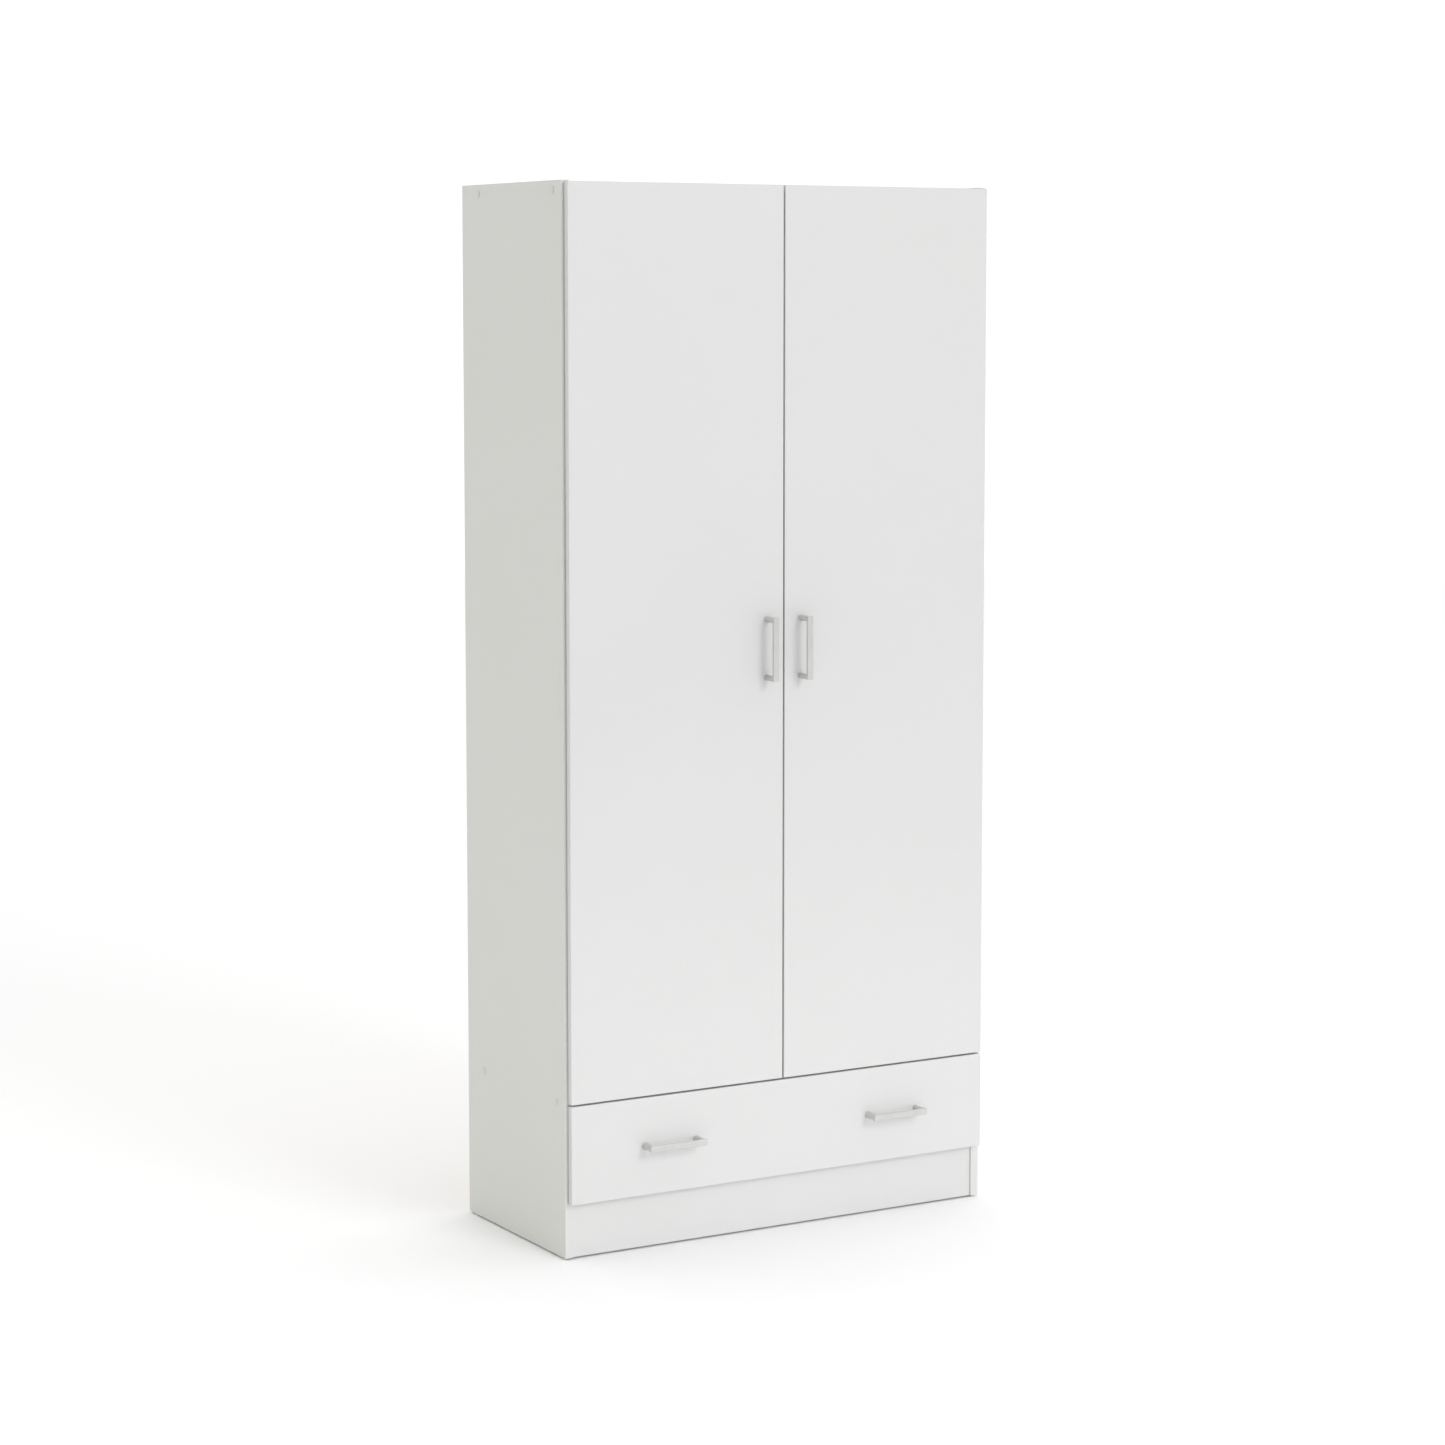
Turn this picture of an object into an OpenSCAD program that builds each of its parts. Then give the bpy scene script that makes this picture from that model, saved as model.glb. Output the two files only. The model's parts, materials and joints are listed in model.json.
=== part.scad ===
// Two-door wardrobe with one drawer below the doors, standing on a plinth.
// Millimetres. +Z is up, the doors face -Y and +X is to the right seen from the front.
// The origin is on the floor, in the middle of the whole object's width and depth.

/* [Carcass] */
// Height from the floor to the top of the side panels
total_h = 1754; // [1460:1:2110]
// Width across the outer faces of the side panels
total_w = 816; // [680:1:980]
// Depth of the side panels, from front edge to back edge
side_d = 354; // [295:1:425]
// Thickness of the side panels
side_t = 15; // [12.5:0.5:18]
// Thickness of the top panel, the divider, the hat shelf and the plinth boards
board_t = 15; // [12.5:0.5:18]
// Distance from the top of the sides down to the top panel
top_drop = 8; // [2:0.5:10]
// Clear height between the top panel and the hat shelf
hat_space_h = 266; // [180:1:320]
// Distance of the plinth front behind the front edge of the sides
plinth_recess = 3; // [1:0.5:20]
// Height of the plinth boards hidden behind the drawer front
plinth_lap = 6; // [3:0.5:7]
// Thickness of the two back panels
back_t = 3; // [2.5:0.1:4]

/* [Doors and drawer front] */
// Thickness of the doors and the drawer front
door_t = 12; // [11.5:0.5:18]
// Distance between the carcass and the back of the doors
door_gap = 1.5; // [1.5:0.1:2.5]
// Width of the side panel's edge left showing beside the doors
door_reveal = 5; // [2:0.5:6]
// Gap between the two doors, and between doors and drawer front
front_gap = 3; // [2:0.5:4]
// Distance from the top of the sides down to the top of the doors
door_drop = 2; // [0:0.5:4]
// Height of the drawer front's lower edge above the floor
drawer_front_z = 94; // [78:1:113]
// Height of the drawer front
drawer_front_h = 163.5; // [136:0.5:197]
// Distance of the outer hinges from the ends of a door
hinge_end = 100; // [80:1:120]

/* [Drawer] */
// Space between the drawer box and the back panels
box_rear_space = 35.5; // [15:0.5:60]
// Thickness of the drawer's sides and back
box_t = 12; // [10:0.5:15]
// Thickness of the drawer bottom
bottom_t = 3; // [2.5:0.1:4]
// Space above the drawer box, under the divider
box_headroom = 14; // [8:0.5:30]

/* [Handles] */
// Distance between a handle's two screws
handle_cc = 96; // [64:1:128]
// Width of the handle's bar
handle_w = 11; // [8:0.5:14]
// How far a handle stands out
handle_out = 31; // [25:0.5:38]
// Distance of the door handles from the middle of the wardrobe
door_handle_x = 33; // [25:0.5:60]
// Height of the door handles' middle
door_handle_z = 989; // [800:1:1100]
// Distance of the drawer handles from the middle of the wardrobe
drawer_handle_x = 218; // [120:1:260]
// Height of the drawer handles above the lower edge of the drawer front
drawer_handle_up = 83; // [60:0.5:110]

/* [Clothes rail] */
// Height of the oval rail's section
rail_h = 30; // [25:0.5:36]
// Width of the oval rail's section
rail_w = 15; // [12:0.5:18]
// Space between the hat shelf and the rail, for the hangers' hooks
hook_space = 22; // [18:0.5:35]

/* [Hidden] */

white = [0.93, 0.93, 0.92];
beech = [0.80, 0.66, 0.46];
steel = [0.72, 0.73, 0.74];
satin = [0.80, 0.80, 0.80];
nylon = [0.88, 0.88, 0.86];

$fn = 48;
slack = 0.05;        // radial clearance of a screw, dowel or peg in its own hole
cut = 1;             // how far a cutting shape runs past the face it opens
sheet_t = 1.5;       // steel sheet of the fittings
glide_h = 3;         // floor glides stand this far below the sides
glide_r = 7;
glide_inset = 25;    // glide centre from the front or back edge of a side
glide_nail_r = 1;
glide_nail_len = 10;
strip_t = 1.2;       // flange of the strip that joins the back panels
strip_w = 24;
strip_web = 2;
back_inset = 3;      // back panels stay this far inside the sides' outer faces
strip_end_gap = 1;   // strip's inner flange to the boards above and below
back_z = 12;         // lower edge of the back panels

// Heights
side_z = glide_h;
top_z = total_h - top_drop - board_t;
divider_z = drawer_front_z + drawer_front_h + front_gap / 2 - board_t / 2;
plinth_top = drawer_front_z + plinth_lap;
hat_z = top_z - hat_space_h - board_t;
door_z0 = drawer_front_z + drawer_front_h + front_gap;
door_z1 = total_h - door_drop;

// Places across the width and depth
out_x = total_w / 2;
in_x = out_x - side_t;
total_d = handle_out + door_t + door_gap + side_d + back_t + strip_t;
case_y = -total_d / 2 + handle_out + door_t + door_gap;
rear_y = case_y + side_d;
door_back_y = case_y - door_gap;
door_face_y = door_back_y - door_t;
door_edge = out_x - door_reveal;

// Screws that hold the top panel and the divider between the sides
confirmat_front = 30;    // from the front edge of the side
confirmat_rear = 59;     // from the back edge of the side
confirmat_head_r = 5;
confirmat_head_t = 1.5;
confirmat_cone_t = 2;
confirmat_shank_r = 3.5;
confirmat_thread_r = 2.5;
confirmat_len = 50;
hex_r = 2.3;
hex_depth = 3;
cap_r = 6.25;
cap_t = 0.9;
cap_stem_r = 1.8;
cap_stem_len = 2.5;

// Screws of the steel fittings
screw_r = 1.75;
screw_len = 10;
screw_head_r = 3.2;
screw_top_r = 2.2;       // rim of the domed head's top
screw_head_t = 1.5;
flat_head_t = 1.2;       // head of the screws in the hinge cups and the drawer runners
fitting_hole_r = 2;
pilot_spare = 1;         // a pilot hole is this much longer than its screw
recess = [3.2, 0.8];     // length and width of one bar of the cross in a head
recess_t = 0.8;

// Dowels, shelf pins, nails
dowel_r = 4;
dowel_len = 30;
dowel_in_side = 10;
dowel_end = 26;          // dowel from the upper or lower edge of a plinth board
pin_r = 2.5;
pin_len = 8;
pin_out = 7;
pin_inset = 55;
shelf_play = 1;          // hat shelf to side panel, and to the back
shelf_setback = 12;      // hat shelf behind the front edge of the sides
nail_r = 0.8;
nail_len = 18;
nail_head_r = 1.8;
nail_head_t = 0.7;
nail_row_z = 45;         // lowest row of nails above the side's lower edge
nail_count = 12;         // nails up each side
nail_first = 75;         // lowest of them above the lowest row
nail_last = 30;          // highest of them below the top row
nail_shares = [0.16, 0.46, 0.74];  // places of a row's nails across half the width

// Wall brackets, which keep the wardrobe from tipping over
wall_hole_r = 2.75;
bracket_w = 20;
bracket_leg = 30;
bracket_foot = 40;
bracket_x = 300;
bracket_hole_drop = 18;
wall_hole_z = top_z - bracket_hole_drop;
foot_screws = [14, 30];  // from the back panel

// Clothes rail, from front to back under the hat shelf
rail_wall = 1.2;
rail_plug = 8;
rail_fit = 0.15;
rail_rim = 2;            // bracket's oval plate around the rail
rail_z = hat_z - hook_space - rail_h / 2;
rail_y = [case_y + 45, rear_y - 30];
rail_foot = 36;
rail_foot_w = 30;
rail_foot_screws = [12, 28];

// Concealed hinges: places from the door's outer edge and the carcass front
overlay = side_t - door_reveal;
hinge_zs = [door_z0 + hinge_end, (door_z0 + door_z1) / 2, door_z1 - hinge_end];
cup_edge = 4;            // door edge to cup
cup_r = 13;
cup_wall = 0.8;
cup_depth = 9.3;
cup_x = cup_edge + cup_r;
pivot_b = [8.5, -door_gap - 2.5];
pivot_a = [22.5, -door_gap + 0.5];
crank = [6.5, -3.9];     // bend of the link, from pivot_b
link_half = 1.4;
link_half_h = 3.5;
link_eye_r = 1.9;
hinge_pin_r = 1.2;
hinge_pin_slack = 0.05;
lug_in = 4;
lug_out = 6;
lug_eye_r = 2.2;
lug_foot = 0.4;          // lug's foot from the cup's edge and floor
lug_width = 5.9;
cheek_in = 4;
cheek_out = 5.5;
nose_r = 3;
arm_len = 58;
arm_neck = [5, 9, 16];   // where the cheek's outline turns, behind the carcass front
arm_web_y = 18;
arm_low = 4;             // arm body from the side panel
arm_high = 14;
plate_y = 37;            // plate screws behind the carcass front
plate_pitch = 32;
plate_half_h = 23;
plate_half_d = 7;
spine_half = 3.6;
spine_y = [29, 55];
arm_screw_y = 48;
arm_screw_r = 2;
arm_screw_hole_r = 2.2;
arm_screw_head_r = 3.6;
arm_screw_head_t = 1.6;
arm_screw_slot = [2, 0.9, 5];
flange_half_h = 25;
flange_in = overlay + 1.5;
flange_out = 34;
flange_t = 1;
flange_hole = 19;
flange_hole_x = 24;
cup_screw_len = 8;

// Door bumpers
bumper_r = 3;
bumper_top_r = 2.4;
bumper_t = 1.2;
bumper_x = 20;
bumper_up = 3.5;         // lower bumper above the door's lower edge

// Handles
bar_end = 5.25;          // bar beyond the middle of a handle screw
leg_t = 9.2;
leg_round = 4;
bar_t = 4;
handle_screw_r = 2;
handle_screw_grip = 10;
handle_head_r = 4;
handle_top_r = 3;
handle_head_t = 2.2;
handle_recess = [4, 1];
handle_recess_t = 1.2;
door_hole_r = 2.3;

// Drawer box
runner_space = 12.5;
box_clear = 8;           // drawer box above the plinth
box_x = in_x - runner_space;
box_len = side_d + door_gap - box_rear_space;
box_z = plinth_top + box_clear;
box_h = divider_z - box_headroom - box_z;
box_rear = door_back_y + box_len;
groove_up = 8;
groove_play = 0.2;
groove_side = 6;
groove_front = 5;
box_screw_r = 2;
box_screw_len = 35;
box_screw_head_r = 4;
box_screw_head_t = 2;
box_screw_ends = 22;     // from the box's upper edge and from the drawer bottom

// Roller runners: places from the side panel's inner face and the box's lower edge
roller_r = 9;
roller_w = 6;
roller_gap = 0.3;
axle_r = 2.5;
axle_slack = 0.05;
axle_head_r = 4;
axle_head_t = 0.9;
axle_end = 0.3;          // axle's shoulder beyond its roller
channel_w = 10.4;
flange_play = 1.2;
rear_roller_up = roller_gap + roller_r;
channel_top = rear_roller_up + roller_r + roller_gap;
flange_under = channel_top + sheet_t + flange_play;
front_roller_up = flange_under - roller_gap - roller_r;
flange_reach = 2.6;      // drawer runner's upper flange from the side panel
runner_web = runner_space - sheet_t;
front_roller_x = 2;
rear_roller_x = runner_web - roller_w - 0.4;
runner_setback = 3;
channel_short = 30;      // channel shorter than the side
channel_len = side_d - channel_short;
front_roller_in = 20;
rear_roller_in = 12;
front_roller_y = case_y + front_roller_in;
rear_roller_y = box_rear - rear_roller_in;
front_cut = 13;          // channel's upper flange starts behind the front roller
cabinet_screws = [0.127, 0.424, 0.819];  // shares of the side's depth
drawer_screws_at = [0.1125, 0.5, 0.844]; // shares of the box's depth
runner_screw_ys = [for (share = cabinet_screws) case_y + share * side_d];
drawer_screw_ys = [for (share = drawer_screws_at) door_back_y + share * box_len];
drawer_screw_up = 14;    // above the box's lower edge, clear of the bottom's groove
lug_z = [34, 74];        // front fixing lug, above the box's lower edge
lug_reach = 3;
lug_side = 14;           // length of the lug's side, which stands against the box
lug_screws = [44, 64];
lug_screw_x = 7.5;
lug_screw_len = 9;
side_screw_len = 9;

// Helpers ------------------------------------------------------------------

module mirrored(side) {
    mirror([side == "right" ? 1 : 0, 0, 0]) children();
}

module both_sides() {
    children();
    mirror([1, 0, 0]) children();
}

// A board between two corners
module board(low, high) {
    translate(low) cube(high - low);
}

// Turns a child that points along +Z so that it points along -X, +X, -Y or +Y
module to_left() rotate([0, -90, 0]) children();
module to_right() rotate([0, 90, 0]) children();
module to_front() rotate([90, 0, 0]) children();
module to_back() rotate([-90, 0, 0]) children();

// Oval with its long side upright, in the XZ plane, running along +Y
module oval(h, w, len) {
    to_back() linear_extrude(len) {
        square([w, h - w], center = true);
        for (s = [-1, 1]) translate([0, s * (h - w) / 2]) circle(d = w);
    }
}

// Round-headed screw pointing along +Z into its board, seated on a steel sheet
module fitting_screw(len = screw_len, seat = sheet_t) {
    translate([0, 0, -seat]) domed_head(screw_top_r, screw_head_r, screw_head_t) cross(recess, recess_t);
    translate([0, 0, -seat]) cylinder(r = screw_r, h = len + seat);
}

// The same with a lower head
module flat_screw(len, seat) {
    translate([0, 0, -seat]) {
        domed_head(screw_top_r, screw_head_r, flat_head_t) cross(recess, recess_t);
        cylinder(r = screw_r, h = len + seat);
    }
}

// Screw head that stands below Z = 0, with the child cut out of its top
module domed_head(top_r, rim_r, t) {
    translate([0, 0, -t]) difference() {
        cylinder(r1 = top_r, r2 = rim_r, h = t);
        children();
    }
}

// Cross-shaped driver recess, opened from below Z = 0
module cross(bar, depth) {
    for (a = [0, 90]) rotate(a) translate([-bar[0] / 2, -bar[1] / 2, -cut]) cube([bar[0], bar[1], cut + depth]);
}

module screw_pilot(len = screw_len) {
    translate([0, 0, -cut]) cylinder(r = screw_r + slack, h = len + pilot_spare + cut);
}

// Where things go on the left half -------------------------------------------

module at_confirmats() {
    for (z = [top_z, divider_z], y = [case_y + confirmat_front, rear_y - confirmat_rear])
        translate([-out_x, y, z + board_t / 2]) to_right() children();
}

module at_plinth_dowels() {
    for (y = [case_y + plinth_recess + board_t / 2, rear_y - board_t / 2],
         z = [side_z + dowel_end, plinth_top - dowel_end])
        translate([-in_x - dowel_in_side, y, z]) to_right() children();
}

module at_shelf_pins() {
    for (y = [case_y + pin_inset, rear_y - pin_inset])
        translate([-in_x, y, hat_z - pin_r]) to_left() children();
}

module at_plate_screws() {
    for (z = hinge_zs, s = [-1, 1])
        translate([-in_x, case_y + plate_y, z + s * plate_pitch / 2]) to_left() children();
}

module at_runner_screws() {
    for (y = runner_screw_ys)
        translate([-in_x, y, box_z + rear_roller_up]) to_left() children();
}

module at_drawer_runner_screws() {
    for (y = drawer_screw_ys)
        translate([-box_x, y, box_z + drawer_screw_up]) to_right() children();
}

module at_lug_screws() {
    for (up = lug_screws)
        translate([-in_x + lug_screw_x, door_back_y, box_z + up]) to_front() children();
}

module at_box_screws() {
    for (z = [box_z + groove_up + bottom_t + box_screw_ends, box_z + box_h - box_screw_ends])
        translate([-box_x, box_rear - box_t / 2, z]) to_right() children();
}

module at_bracket_screws() {
    for (d = foot_screws)
        translate([-bracket_x, rear_y - d, top_z]) children();
}

module at_wall_holes() {
    translate([-bracket_x, rear_y, wall_hole_z]) children();
}

module at_glides() {
    for (y = [case_y + glide_inset, rear_y - glide_inset])
        translate([-out_x + side_t / 2, y, 0]) children();
}

// A hinge's own frame: X from the door's outer edge, Y behind the carcass front
module at_hinge(n) {
    translate([-door_edge, case_y, hinge_zs[n - 1]]) children();
}

module at_cup_screws() {
    for (n = [1:3], s = [-1, 1])
        at_hinge(n) translate([flange_hole_x, -door_gap, s * flange_hole]) to_front() children();
}

module at_door_handle() {
    translate([-door_handle_x, 0, door_handle_z]) rotate([0, 90, 0]) children();
}

module at_drawer_handle() {
    translate([-drawer_handle_x, 0, drawer_front_z + drawer_handle_up]) children();
}

// Carcass --------------------------------------------------------------------

module confirmat(grow = 0) {
    cylinder(r = confirmat_head_r + grow, h = confirmat_head_t);
    translate([0, 0, confirmat_head_t])
        cylinder(r1 = confirmat_head_r + grow, r2 = confirmat_shank_r + grow, h = confirmat_cone_t);
    cylinder(r = confirmat_shank_r + grow, h = side_t);
    cylinder(r = confirmat_thread_r + grow, h = confirmat_len + grow);
}

module side_panel() {
    color(white) difference() {
        board([-out_x, case_y, side_z], [-in_x, rear_y, total_h]);
        at_confirmats() confirmat(slack);
        at_plinth_dowels() cylinder(r = dowel_r + slack, h = dowel_len);
        at_shelf_pins() cylinder(r = pin_r + slack, h = pin_len + slack);
        at_plate_screws() screw_pilot();
        at_runner_screws() screw_pilot();
        at_glides() cylinder(r = glide_nail_r + slack, h = side_z + glide_nail_len + slack);
    }
}

module top_panel() {
    color(white) difference() {
        board([-in_x, case_y, top_z], [in_x, rear_y, top_z + board_t]);
        both_sides() {
            at_confirmats() confirmat(slack);
            at_bracket_screws() screw_pilot();
        }
    }
}

module divider_shelf() {
    color(white) difference() {
        board([-in_x, case_y, divider_z], [in_x, rear_y, divider_z + board_t]);
        both_sides() at_confirmats() confirmat(slack);
    }
}

module hat_shelf() {
    color(white) difference() {
        board([-in_x + shelf_play, case_y + shelf_setback, hat_z], [in_x - shelf_play, rear_y - strip_t - shelf_play, hat_z + board_t]);
        at_rail_screws() screw_pilot();
    }
}

module plinth_board(front_y) {
    color(white) difference() {
        board([-in_x, front_y, side_z], [in_x, front_y + board_t, plinth_top]);
        both_sides() at_plinth_dowels() cylinder(r = dowel_r + slack, h = dowel_len + slack);
    }
}

module plinth_front() plinth_board(case_y + plinth_recess);

module plinth_rear() plinth_board(rear_y - board_t);

module plinth_dowels() {
    color(beech) both_sides() at_plinth_dowels() cylinder(r = dowel_r, h = dowel_len);
}

module back_panel() {
    color(white) difference() {
        board([-out_x + back_inset, rear_y, back_z], [-strip_web / 2, rear_y + back_t, total_h - top_drop]);
        at_wall_holes() to_back() translate([0, 0, -cut]) cylinder(r = wall_hole_r, h = back_t + 2 * cut);
    }
}

module back_joint_strip() {
    half = strip_w / 2;
    web = strip_web / 2 - slack;
    color(white) {
        board([-web, rear_y, back_z], [web, rear_y + back_t, total_h - top_drop]);
        board([-half, rear_y + back_t, back_z], [half, rear_y + back_t + strip_t, total_h - top_drop]);
        for (span = [[plinth_top, divider_z], [divider_z + board_t, top_z]])
            board([-half, rear_y - strip_t, span[0] + strip_end_gap], [half, rear_y, span[1] - strip_end_gap]);
    }
}

module nail() {
    translate([0, 0, -nail_head_t]) cylinder(r = nail_head_r, h = nail_head_t);
    cylinder(r = nail_r, h = nail_len);
}

module back_nails() {
    rows = [side_z + nail_row_z, divider_z + board_t / 2, top_z + board_t / 2];
    first = rows[0] + nail_first;
    pitch = (rows[2] - nail_last - first) / (nail_count - 1);
    color(steel) both_sides() {
        for (n = [0:nail_count - 1]) translate([-out_x + side_t / 2, rear_y + back_t, first + n * pitch]) to_front() nail();
        for (z = rows, share = nail_shares) translate([-in_x * share, rear_y + back_t, z]) to_front() nail();
    }
}

module confirmat_screws() {
    color(steel) both_sides() at_confirmats() difference() {
        confirmat();
        translate([0, 0, -cut]) cylinder(r = hex_r, h = hex_depth + cut, $fn = 6);
    }
}

module screw_caps() {
    color(white) both_sides() at_confirmats() {
        translate([0, 0, -cap_t]) cylinder(r = cap_r, h = cap_t);
        cylinder(r = cap_stem_r, h = cap_stem_len);
    }
}

module floor_glides() {
    color(nylon) both_sides() at_glides() {
        cylinder(r = glide_r, h = glide_h);
        cylinder(r = glide_nail_r, h = glide_h + glide_nail_len);
    }
}

module shelf_pins() {
    color(nylon) both_sides() at_shelf_pins() {
        cylinder(r = pin_r, h = pin_len);
        translate([0, 0, -pin_out]) cylinder(r = pin_r, h = pin_out);
    }
}

// Clothes rail, from front to back under the hat shelf --------------------------

module at_rail_brackets() {
    translate([0, rail_y[0], 0]) children();
    translate([0, rail_y[1], 0]) mirror([0, 1, 0]) children();
}

module at_rail_screws() {
    at_rail_brackets() for (d = rail_foot_screws) translate([0, d, hat_z]) children();
}

module clothes_rail() {
    span = [rail_y[0] + sheet_t, rail_y[1] - sheet_t];
    color(satin) translate([0, span[0], rail_z]) difference() {
        oval(rail_h, rail_w, span[1] - span[0]);
        translate([0, -cut, 0]) oval(rail_h - 2 * rail_wall, rail_w - 2 * rail_wall, span[1] - span[0] + 2 * cut);
    }
}

module rail_brackets() {
    plug_h = rail_h - 2 * (rail_wall + rail_fit);
    plug_w = rail_w - 2 * (rail_wall + rail_fit);
    color(steel) at_rail_brackets() difference() {
        union() {
            board([-rail_foot_w / 2, 0, hat_z - sheet_t], [rail_foot_w / 2, rail_foot, hat_z]);
            board([-rail_w / 2, 0, rail_z], [rail_w / 2, sheet_t, hat_z]);
            translate([0, 0, rail_z]) oval(rail_h + 2 * rail_rim, rail_w + 2 * rail_rim, sheet_t);
            translate([0, 0, rail_z]) oval(plug_h, plug_w, rail_plug);
        }
        for (d = rail_foot_screws) translate([0, d, hat_z - sheet_t - cut]) cylinder(r = fitting_hole_r, h = sheet_t + 2 * cut);
    }
}

// Fittings on the carcass -------------------------------------------------------

module wall_brackets() {
    color(steel) both_sides() difference() {
        union() {
            board([-bracket_x - bracket_w / 2, rear_y - bracket_foot, top_z - sheet_t],
                  [-bracket_x + bracket_w / 2, rear_y, top_z]);
            board([-bracket_x - bracket_w / 2, rear_y - sheet_t, top_z - bracket_leg],
                  [-bracket_x + bracket_w / 2, rear_y, top_z]);
        }
        at_bracket_screws() translate([0, 0, -sheet_t - cut]) cylinder(r = fitting_hole_r, h = sheet_t + 2 * cut);
        at_wall_holes() to_front() translate([0, 0, -cut]) cylinder(r = wall_hole_r, h = sheet_t + 2 * cut);
    }
}

module panel_screws() {
    color(steel) {
        both_sides() {
            at_plate_screws() fitting_screw();
            at_runner_screws() fitting_screw();
            at_bracket_screws() fitting_screw();
        }
        at_rail_screws() fitting_screw();
    }
}

module hinge_plates() {
    color(steel) both_sides() for (n = [1:3]) at_hinge(n) difference() {
        union() {
            board([overlay, plate_y - plate_half_d, -plate_half_h], [overlay + sheet_t, plate_y + plate_half_d, plate_half_h]);
            board([overlay, spine_y[0], -spine_half], [overlay + arm_high - sheet_t, spine_y[1], spine_half]);
            translate([overlay, arm_screw_y, 0]) to_right() cylinder(r = arm_screw_r, h = arm_high + cut);
            translate([overlay + arm_high + slack, arm_screw_y, 0]) to_right() cylinder(r = arm_screw_head_r, h = arm_screw_head_t);
        }
        translate([overlay + arm_high + arm_screw_head_t, arm_screw_y, 0]) cube(arm_screw_slot, center = true);
        for (s = [-1, 1]) translate([overlay - cut, plate_y, s * plate_pitch / 2]) to_right() cylinder(r = fitting_hole_r, h = sheet_t + 2 * cut);
    }
}

// Arm of a concealed hinge: two cheeks joined by a web, which slides over the plate
module arm_cheek() {
    linear_extrude(cheek_out - cheek_in) difference() {
        union() {
            translate(pivot_a) circle(r = nose_r);
            polygon([[pivot_a[0] + nose_r, pivot_a[1]], [pivot_a[0] + nose_r, arm_neck[1]], [overlay + arm_high, arm_neck[2]],
                     [overlay + arm_high, arm_len], [overlay + arm_low, arm_len], [overlay + arm_low, arm_neck[2]],
                     [pivot_a[0] - nose_r, arm_neck[0]], [pivot_a[0] - nose_r, pivot_a[1]]]);
        }
        translate(pivot_a) circle(r = hinge_pin_r + hinge_pin_slack);
    }
}

module hinge_arm(n) {
    color(steel) at_hinge(n) {
        translate([0, 0, cheek_in]) arm_cheek();
        translate([0, 0, -cheek_out]) arm_cheek();
        difference() {
            board([overlay + arm_high - sheet_t, arm_web_y, -cheek_out], [overlay + arm_high, arm_len, cheek_out]);
            translate([overlay, arm_screw_y, 0]) to_right() cylinder(r = arm_screw_hole_r, h = arm_high + cut);
        }
    }
}

// Link of a concealed hinge, cranked so that it clears the edge of the open door
module bar_2d(from, to) {
    d = to - from;
    translate(from) rotate(atan2(d[1], d[0])) translate([0, -link_half]) square([norm(d), 2 * link_half]);
    for (p = [from, to]) translate(p) circle(r = link_half);
}

module hinge_links() {
    bend = pivot_b + crank;
    color(steel) for (n = [1:3]) at_hinge(n) {
        translate([0, 0, -link_half_h]) linear_extrude(2 * link_half_h) {
            bar_2d(pivot_b, bend);
            bar_2d(bend, pivot_a);
            translate(pivot_a) circle(r = link_eye_r);
            translate(pivot_b) circle(r = link_eye_r);
        }
        translate([pivot_b[0], pivot_b[1], -lug_out]) cylinder(r = hinge_pin_r, h = 2 * lug_out);
        translate([pivot_a[0], pivot_a[1], -cheek_out]) cylinder(r = hinge_pin_r, h = 2 * cheek_out);
    }
}

module hinge_cup(n) {
    floor_y = -door_gap - cup_depth;
    color(steel) at_hinge(n) difference() {
        union() {
            difference() {
                union() {
                    translate([cup_x, floor_y, 0]) to_back() cylinder(r = cup_r, h = cup_depth);
                    board([flange_in, -door_gap, -flange_half_h], [flange_out, -door_gap + flange_t, flange_half_h]);
                }
                translate([cup_x, floor_y + cup_wall, 0]) to_back() cylinder(r = cup_r - cup_wall, h = cup_depth + cut);
            }
            for (s = [-1, 1]) translate([0, 0, s * (lug_in + lug_out) / 2]) intersection() {
                linear_extrude(lug_out - lug_in, center = true) {
                    translate(pivot_b) circle(r = lug_eye_r);
                    translate([cup_edge + lug_foot, floor_y + lug_foot]) square([lug_width, pivot_b[1] - floor_y - lug_foot]);
                }
                translate([cup_x, floor_y, -s * (lug_in + lug_out) / 2]) to_back() cylinder(r = cup_r - cup_wall / 2, h = cup_depth);
            }
        }
        translate([pivot_b[0], pivot_b[1], -lug_out - cut]) cylinder(r = hinge_pin_r + hinge_pin_slack, h = 2 * (lug_out + cut));
        for (s = [-1, 1]) translate([flange_hole_x, 0, s * flange_hole]) to_front() cylinder(r = fitting_hole_r, h = door_gap + cut);
    }
}

// Doors ---------------------------------------------------------------------------

module door() {
    color(white) difference() {
        board([-door_edge, door_face_y, door_z0], [-front_gap / 2, door_back_y, door_z1]);
        for (n = [1:3]) at_hinge(n) translate([cup_x, -door_gap, 0]) to_front() translate([0, 0, -cut])
            cylinder(r = cup_r + slack, h = cup_depth + cut + slack);
        at_cup_screws() cylinder(r = screw_r + slack, h = cup_screw_len + slack);
        at_door_handle() handle_holes(door_hole_r);
    }
}

// Handle along X, screwed to a front whose face is at door_face_y
module handle() {
    color(satin) difference() {
        union() {
            board([-handle_cc / 2 - bar_end, door_face_y - handle_out, -handle_w / 2],
                  [handle_cc / 2 + bar_end, door_face_y - handle_out + bar_t, handle_w / 2]);
            for (s = [-1, 1]) translate([s * (handle_cc / 2 + bar_end - leg_t / 2), door_face_y, 0]) to_front()
                linear_extrude(handle_out - cut) handle_leg();
        }
        handle_holes(handle_screw_r + slack);
    }
}

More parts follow.
